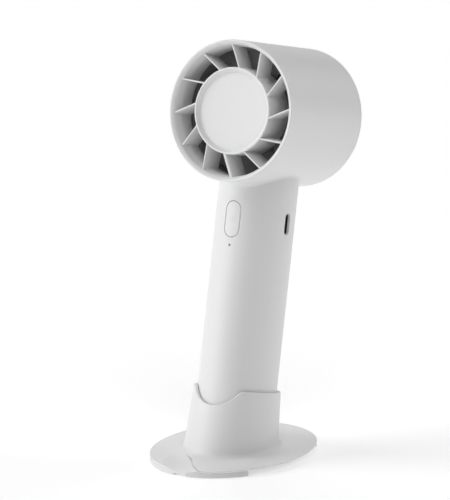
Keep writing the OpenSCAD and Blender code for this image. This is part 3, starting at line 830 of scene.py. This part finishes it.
def rear_grille():
    """The inlet guard: a rim, three rings, a boss, and spokes of which every second one is short."""
    front, back = grille_high[1] - GRILLE_T, grille_high[1]
    rim = rounded([
        (GRILLE_R, front, 0.3), (GRILLE_R + 0.6, grille_low[1], 0.2), (BORE_R, grille_low[1], 0.2),
        (BORE_R, back, 0.5), (GRILLE_R, back, 0.6)], closed=True)
    boss = rounded([
        (0, front), (GRILLE_BOSS_R, front, 0.5), (GRILLE_BOSS_R, back - 0.2, 0.8), (0, back)])
    patches = [lathe(rim)]
    patches += [lathe(bar_profile(radius, GRILLE_RING_W, front, back)) for radius in GRILLE_RINGS]
    patches.append(lathe(boss, closed=False))
    outline = bar_profile(0, GRILLE_SPOKE_W, front + 0.1, back - 0.1)
    for k in range(GRILLE_SPOKES):
        start = GRILLE_RINGS[1] if k % 2 else GRILLE_BOSS_R - 0.4
        spoke = [[(radius, y, across) for across, y in outline] for radius in (start, GRILLE_R + 0.3)]
        patches += tube(turned(spoke, k * 360 / GRILLE_SPOKES))
    build("rear_grille", patches, FAN, "fan", "housing_white", ["rear_grille"])


def impeller_hub():
    """The rotor's hub: a skirt, a domed nose, and pockets for the motor's can and the shaft."""
    front, back = rotor_low[1], rotor_high[1]
    radius = rotor_high[0]
    profile = rounded([
        (SHAFT_FIT_R, back - 2.2), (SHAFT_FIT_R, back, 0.2), (9.0, back - 0.9, 6), (16.0, back - 4.2, 5),
        (radius, 3.0, 4), (radius, front, 0.3), (radius - ROTOR_WALL, front, 0.2),
        (radius - ROTOR_WALL, POCKET_BACK), (POCKET_R, POCKET_BACK), (POCKET_R, front), (CAN_FIT_R, front),
        (CAN_FIT_R, CAN_BACK), (SHAFT_FIT_R, CAN_BACK)])
    # the hub's grey is painted shade of the deep duct
    build("impeller_hub", [lathe(profile)], FAN, "rotor", "dark_plastic", ["impeller_hub"])


def blade_sections(front, back):
    """Sections of a twisted, cambered blade from the hub to its tip."""
    sections = []
    for share in np.linspace(0, 1, 9):
        radius = rotor_high[0] - BLADE_SINK + share * (blade_high[0] - rotor_high[0] + 0.3)
        stagger = math.radians(50 + 10 * share)
        chord = (back - front) / math.cos(stagger) * 0.97
        section = []
        for side in (1, -1):
            for t in np.linspace(0, 1, 13)[::side]:
                bulge = 4 * t * (1 - t)
                half = side * BLADE_T / 2 * (0.25 + 0.75 * math.sqrt(max(0, bulge)))
                along = (t - 0.5) * chord
                across = BLADE_CAMBER * chord * bulge + half
                y = along * math.cos(stagger) - across * math.sin(stagger)
                turn = (along * math.sin(stagger) + across * math.cos(stagger)) / radius
                section.append((radius * math.cos(turn), (front + back) / 2 + y, radius * math.sin(turn)))
        sections.append(section)
    return sections


def impeller_blades():
    """The rotor's blades, evenly spaced."""
    sections = blade_sections(blade_low[1] + 0.5, blade_high[1] - 0.5)
    patches = []
    for k in range(BLADE_COUNT):
        patches += tube(turned(sections, k * 360 / BLADE_COUNT))
    # the blades' grey is painted shade of the deep duct
    build("impeller_blades", patches, FAN, "rotor", "dark_plastic", ["impeller_blades"])


rear_grille()
impeller_hub()
impeller_blades()

# ---------------------------------------------------------------- stand

BASE_COLUMNS = 256
BASE_HALF_X = base_high[0]
BASE_HALF_Y = 43.35
BASE_Y = base_low[1] + BASE_HALF_Y
RIM_BOTTOM = foot_high[2]
RIM_TOP = 3.0
RIM_EDGE = 0.15
RIM_UNDERCUT = 0.7
DOME_RISE = 1.3
CUP_GAP = 0.25
CUP_WALL = 1.7
CUP_MOUTH = -118.0
CUP_DRAFT = math.tan(math.radians(3.2))
SOCKET_FLOOR = HANDLE_BOTTOM_Z - 0.2
SOCKET_FLOOR_R = 0.6
SCOOP_R = 13.0
SCOOP_DROP = 6.0
SCOOP_SOFTNESS = 0.9
LIP_ROUND = 0.45
FILLET_UP = 2.4
FILLET_OUT = 2.8
NOTCH_LOW_AT = 0.65
NOTCH_GROOVE = 0.45
NOTCH_LIP_HALF = 3.1
NOTCH_LIP_BOTTOM = 1.0
NOTCH_LIP_LENGTH = 5.6
FOOT_FROM = 3.0
FOOT_TO = 25.0
FOOT_W = 2.9
FOOT_EDGE_R = 0.25

# Across the notch, from behind the rim to past its front: left x and y and right x and y from the base's
# centre, the depth, and how much of that depth is left as a step at the right edge.
NOTCH_STATIONS = (
    (-15.5, -23.5, -8.7, -24.2, -0.2, 0.0),
    (-15.0, -26.0, -7.2, -25.4, 0.4, 0.9),
    (-14.3, -30.0, -4.5, -27.2, 0.8, 0.9),
    (-13.6, -33.0, -1.4, -30.9, 1.1, 0.85),
    (-12.8, -36.0, 1.4, -34.7, 1.3, 0.7),
    (-11.8, -38.7, 4.3, -37.6, 1.2, 0.55),
    (-11.2, -40.2, 7.2, -40.2, 1.12, 0.35),
    (-10.6, -43.0, 10.3, -43.0, 1.85, 0.15),
    (-10.3, -46.0, 12.5, -46.0, 2.4, 0.15),
)


def fan_to_row(points):
    """Points of the fan's frame in the millimetres of the row frame."""
    matrix = np.array(ROW.inverted() @ FAN)
    return np.asarray(points, float) @ matrix[:3, :3].T + matrix[:3, 3]


def smooth(share):
    """Runs from 0 to 1, level at both ends."""
    return share * share * (3 - 2 * share)


def scoop_depth(x, y):
    """How far the cup's mouth dips at a point of its wall."""
    if y > 0:
        return 0.0
    dip = math.sqrt(max(SCOOP_R**2 - x**2, 0)) - SCOOP_DROP
    return 0.5 * (dip + math.sqrt(dip**2 + SCOOP_SOFTNESS**2))


def dome_height(x, y):
    """The disc's upper surface, from its rim up towards the cup."""
    share = math.hypot(x / BASE_HALF_X, (y - BASE_Y) / BASE_HALF_Y)
    return RIM_TOP + DOME_RISE * (1 - min(share, 1) ** 2)


def cup_loops(points, normals, tops):
    """The socket and the rounded lip over each column's top, from the socket's floor up and over."""
    floor = np.full(len(tops), SOCKET_FLOOR)
    profile = [(CUP_GAP - SOCKET_FLOOR_R, floor), (CUP_GAP, floor + SOCKET_FLOOR_R)]
    for a in quarter_turn(6):
        profile.append((CUP_GAP + LIP_ROUND * (1 - math.cos(a)), tops - LIP_ROUND * (1 - math.sin(a))))
    for a in quarter_turn(6):
        profile.append((CUP_WALL - LIP_ROUND * (1 - math.sin(a)), tops - LIP_ROUND * (1 - math.cos(a))))
    return [fan_to_row(np.column_stack([points + normals * grow, heights])) for grow, heights in profile]


def wall_point(point, normal, z):
    """A point of the cup's drafted outer wall, in the row frame."""
    grow = CUP_WALL + (CUP_MOUTH - z) * CUP_DRAFT
    return fan_to_row([(*(point + normal * grow), z)])[0]


def wall_foot(point, normal):
    """The height along the handle at which a column of the cup's wall meets the disc."""
    low, high = HANDLE_BOTTOM_Z - 15, CUP_MOUTH
    for _ in range(40):
        middle = (low + high) / 2
        x, y, z = wall_point(point, normal, middle)
        if z > dome_height(x, y):
            high = middle
        else:
            low = middle
    return middle


def outer_column(point, normal, top):
    """One column of the stand's outside, from under the cup's lip down to the rim, and its rim angle."""
    foot_z = wall_foot(point, normal)
    foot = wall_point(point, normal, foot_z)
    heights = np.linspace(top - LIP_ROUND, foot_z + FILLET_UP, 9)[1:]
    wall = [wall_point(point, normal, z) for z in heights]
    angle = math.atan2((foot[1] - BASE_Y) / BASE_HALF_Y, foot[0] / BASE_HALF_X)
    rim = np.array([*rim_point(RIM_EDGE, angle), RIM_TOP])
    landing = foot + (rim - foot) * FILLET_OUT / np.linalg.norm(rim[:2] - foot[:2])
    landing[2] = dome_height(*landing[:2])
    steps = np.linspace(0, 1, 11)[1:]
    fillet = [wall[-1] * (1 - t) ** 2 + foot * 2 * t * (1 - t) + landing * t * t for t in steps]
    disc = [landing + (rim - landing) * t for t in steps]
    disc = [np.array([x, y, dome_height(x, y)]) for x, y, _ in disc[:-1]] + [rim]
    return wall + fillet + disc, angle


def rim_point(inset, angle):
    """The point of the base's oval outline at an angle, moved in by an inset."""
    return (BASE_HALF_X - inset) * math.cos(angle), BASE_Y + (BASE_HALF_Y - inset) * math.sin(angle)


def rim_loops(angles):
    """The rim's edge and underside, below the disc's outermost line."""
    profile = rounded([
        (RIM_EDGE + 1, RIM_TOP), (0, RIM_TOP, RIM_EDGE), (RIM_UNDERCUT, RIM_BOTTOM, 0.1),
        (6.0, RIM_BOTTOM)])
    return [[(*rim_point(inset, a), z) for a in angles] for inset, z in profile[2:]]


def notch_cutter():
    """A loose solid to cut the finger notch with: a dish with a soft left fold and a crisp right edge."""
    sections = []
    for left_x, left_y, right_x, right_y, depth, step in NOTCH_STATIONS:
        floor = []
        for share in np.linspace(-0.1, 1, 18):
            x = left_x + (right_x - left_x) * share
            y = BASE_Y + left_y + (right_y - left_y) * share
            fall = math.sin(math.pi / 2 * min(share / NOTCH_LOW_AT, 1)) ** 1.25 if share >= 0 else share
            climb = smooth(max(share - NOTCH_LOW_AT, 0) / (1 - NOTCH_LOW_AT)) * (1 - step)
            floor.append((x, y, dome_height(x, y) - depth * (fall - climb)))
        edge_x, edge_y, edge_z = floor[-1]
        groove = NOTCH_GROOVE * min(1, 2 * step)
        before = (edge_x - groove, edge_y, edge_z)
        under = (edge_x + groove, edge_y + groove, edge_z - groove)
        lip = (edge_x, edge_y, dome_height(edge_x, edge_y) - 0.1)
        top = [(edge_x, edge_y, RIM_TOP + 4), (*floor[0][:2], RIM_TOP + 4)]
        sections.append(floor[:-1] + [before, under, lip] + top)
    return make_mesh("notch", tube(sections), ROW)


def notch_lip():
    """The part of the rim that reaches lower between the two front feet, where the notch runs out."""
    sections = []
    for x in np.linspace(-NOTCH_LIP_HALF, NOTCH_LIP_HALF, 9):
        front = BASE_Y - BASE_HALF_Y * math.sqrt(1 - (x / BASE_HALF_X) ** 2)
        back = front + NOTCH_LIP_LENGTH
        sections.append([(x, front + RIM_UNDERCUT, RIM_BOTTOM), (x, front + 0.02, NOTCH_LIP_BOTTOM),
                         (x, back, NOTCH_LIP_BOTTOM), (x, back, RIM_BOTTOM)])
    piece = build("notch_lip", tube(sections), ROW, "stand", "stand_white")
    carve(piece, notch_cutter())


def stand_base():
    """The disc and the cup in one skin, closed under the socket and under the disc."""
    points, normals = oval(BASE_COLUMNS)
    tops = np.array([CUP_MOUTH - scoop_depth(x, y) for x, y in points + normals * CUP_WALL])
    columns, angles = zip(*(outer_column(*column) for column in zip(points, normals, tops)))
    skin = [*cup_loops(points, normals, tops), *np.swapaxes(np.array(columns), 0, 1), *rim_loops(angles)]
    patches = [strip(skin), fill(skin[0]), fill(skin[-1])]
    piece = build("stand_base", patches, ROW, "stand", "stand_white", ["stand_base"])
    carve(piece, notch_cutter())


def foot_pad(side, end):
    """One arc-shaped pad under the rim, right or left and back or front."""
    start, stop = (math.acos(x / BASE_HALF_X) for x in (FOOT_FROM, FOOT_TO))
    sections = []
    for k, share in enumerate(np.linspace(0, 1, 41)):
        a = start + (stop - start) * share
        tuck = 0.12 if k in (0, 40) else 0
        outline = rounded([
            (0.03 + tuck, tuck, FOOT_EDGE_R), (RIM_UNDERCUT + tuck, RIM_BOTTOM, 0.02),
            (FOOT_W - tuck, RIM_BOTTOM, 0.05), (FOOT_W - tuck, tuck, FOOT_EDGE_R)], steps=4, closed=True)
        section = []
        for inset, z in outline:
            x = side * (BASE_HALF_X - inset) * math.cos(a)
            section.append((x, BASE_Y + end * (BASE_HALF_Y - inset) * math.sin(a), z))
        sections.append(section)
    return tube(sections)


def stand_feet():
    """The four pads, of which the front left one is cut by the notch too."""
    patches = []
    for side in (-1, 1):
        for end in (-1, 1):
            patches += foot_pad(side, end)
    piece = build("stand_feet", patches, ROW, "stand", "feet_silicone", ["stand_feet"])
    carve(piece, notch_cutter())


stand_base()
notch_lip()
stand_feet()

# ---------------------------------------------------------------- the CAD nodes that stay

shown_slots = {part["node"]: part["material_slot"] for part in frame["record"]["subparts"]}
for node, piece in frame["nodes"].items():
    if not piece.hide_render:
        piece.data.materials.clear()
        piece.data.materials.append(materials[shown_slots[node]])

# ---------------------------------------------------------------- stage, light and camera

VIEW_AZIMUTH = 31.58
VIEW_ELEVATION = 10.3
VIEW_DISTANCE = 1.6
VIEW_LENS = 269.0
VIEW_ROLL = -0.14
AIM_FROM_HEAD = Vector((-8.46, -20.08, -56.79)) * MM

# azimuth from the front towards +X, elevation and strength
SOFTBOXES = {
    "key": (-60, 32, 1.32),
    "key_low": (-60, 8, 0.42),
    "front_low": (-30, 8, 0.55),
    "edge_left": (-150, 32, 0.36),
    "top_left": (-135, 58, 0.44),
    "top_right": (45, 58, 0.76),
    "right": (120, 32, 0.21),
    "back": (150, 32, 0.69),
}
SOFTBOX_SPREAD = 40
SKY_STRENGTH = 0.02
FLOOR_HALF = 4
FLOOR_COLOR = (0.82, 0.82, 0.82)
FLOOR_GLOW = 0.32


def direction(azimuth, elevation):
    """The unit vector towards an azimuth, counted from the front towards +X, and an elevation."""
    a, e = math.radians(azimuth), math.radians(elevation)
    return Vector((math.sin(a) * math.cos(e), -math.cos(a) * math.cos(e), math.sin(e)))


def look_at(thing, place, target, roll=0.0):
    """Stands an object at a place with its -Z axis towards a target."""
    turn = (place - target).to_track_quat("Z", "Y").to_matrix().to_4x4()
    thing.matrix_world = Matrix.Translation(place) @ turn @ Matrix.Rotation(math.radians(roll), 4, "Z")


def camera():
    """A long lens in front of the fan, a little above it and to its right."""
    data = bpy.data.cameras.new("camera")
    data.lens = VIEW_LENS
    data.sensor_width = 36.0
    data.clip_end = 20
    view = bpy.data.objects.new("camera", data)
    bpy.context.scene.collection.objects.link(view)
    head_centre = FAN.to_translation()
    place = head_centre + direction(VIEW_AZIMUTH, VIEW_ELEVATION) * VIEW_DISTANCE
    look_at(view, place, head_centre + AIM_FROM_HEAD, VIEW_ROLL)
    bpy.context.scene.camera = view


def softbox(name, azimuth, elevation, strength):
    """A wide, even light from far away, which fills a disc of SOFTBOX_SPREAD degrees in the sky."""
    data = bpy.data.lights.new(name, "SUN")
    data.energy = strength
    data.angle = math.radians(SOFTBOX_SPREAD)
    lamp = bpy.data.objects.new(name, data)
    bpy.context.scene.collection.objects.link(lamp)
    look_at(lamp, direction(azimuth, elevation) * 3, Vector((0, 0, 0)))


def light_table():
    """A pale translucent sheet that is lit a little from below."""
    nodes = Nodes("floor_white", FLOOR_COLOR, 0.9)
    nodes.shader.inputs["Emission Color"].default_value = (1, 1, 1, 1)
    nodes.shader.inputs["Emission Strength"].default_value = FLOOR_GLOW
    return nodes.material


def stage():
    """The floor, a faint white sky and plain view colours."""
    mesh = bpy.data.meshes.new("floor")
    corners = [(x * FLOOR_HALF, y * FLOOR_HALF, 0) for x, y in ((-1, -1), (1, -1), (1, 1), (-1, 1))]
    mesh.from_pydata(corners, [], [(0, 1, 2, 3)])
    piece = bpy.data.objects.new("floor", mesh)
    bpy.context.scene.collection.objects.link(piece)
    mesh.materials.append(light_table())
    world = bpy.data.worlds.new("studio")
    bpy.context.scene.world = world
    world.use_nodes = True
    background = world.node_tree.nodes["Background"]
    background.inputs["Color"].default_value = (1, 1, 1, 1)
    background.inputs["Strength"].default_value = SKY_STRENGTH
    bpy.context.scene.view_settings.view_transform = "Standard"


camera()
stage()
for softbox_name, light in SOFTBOXES.items():
    softbox(softbox_name, *light)
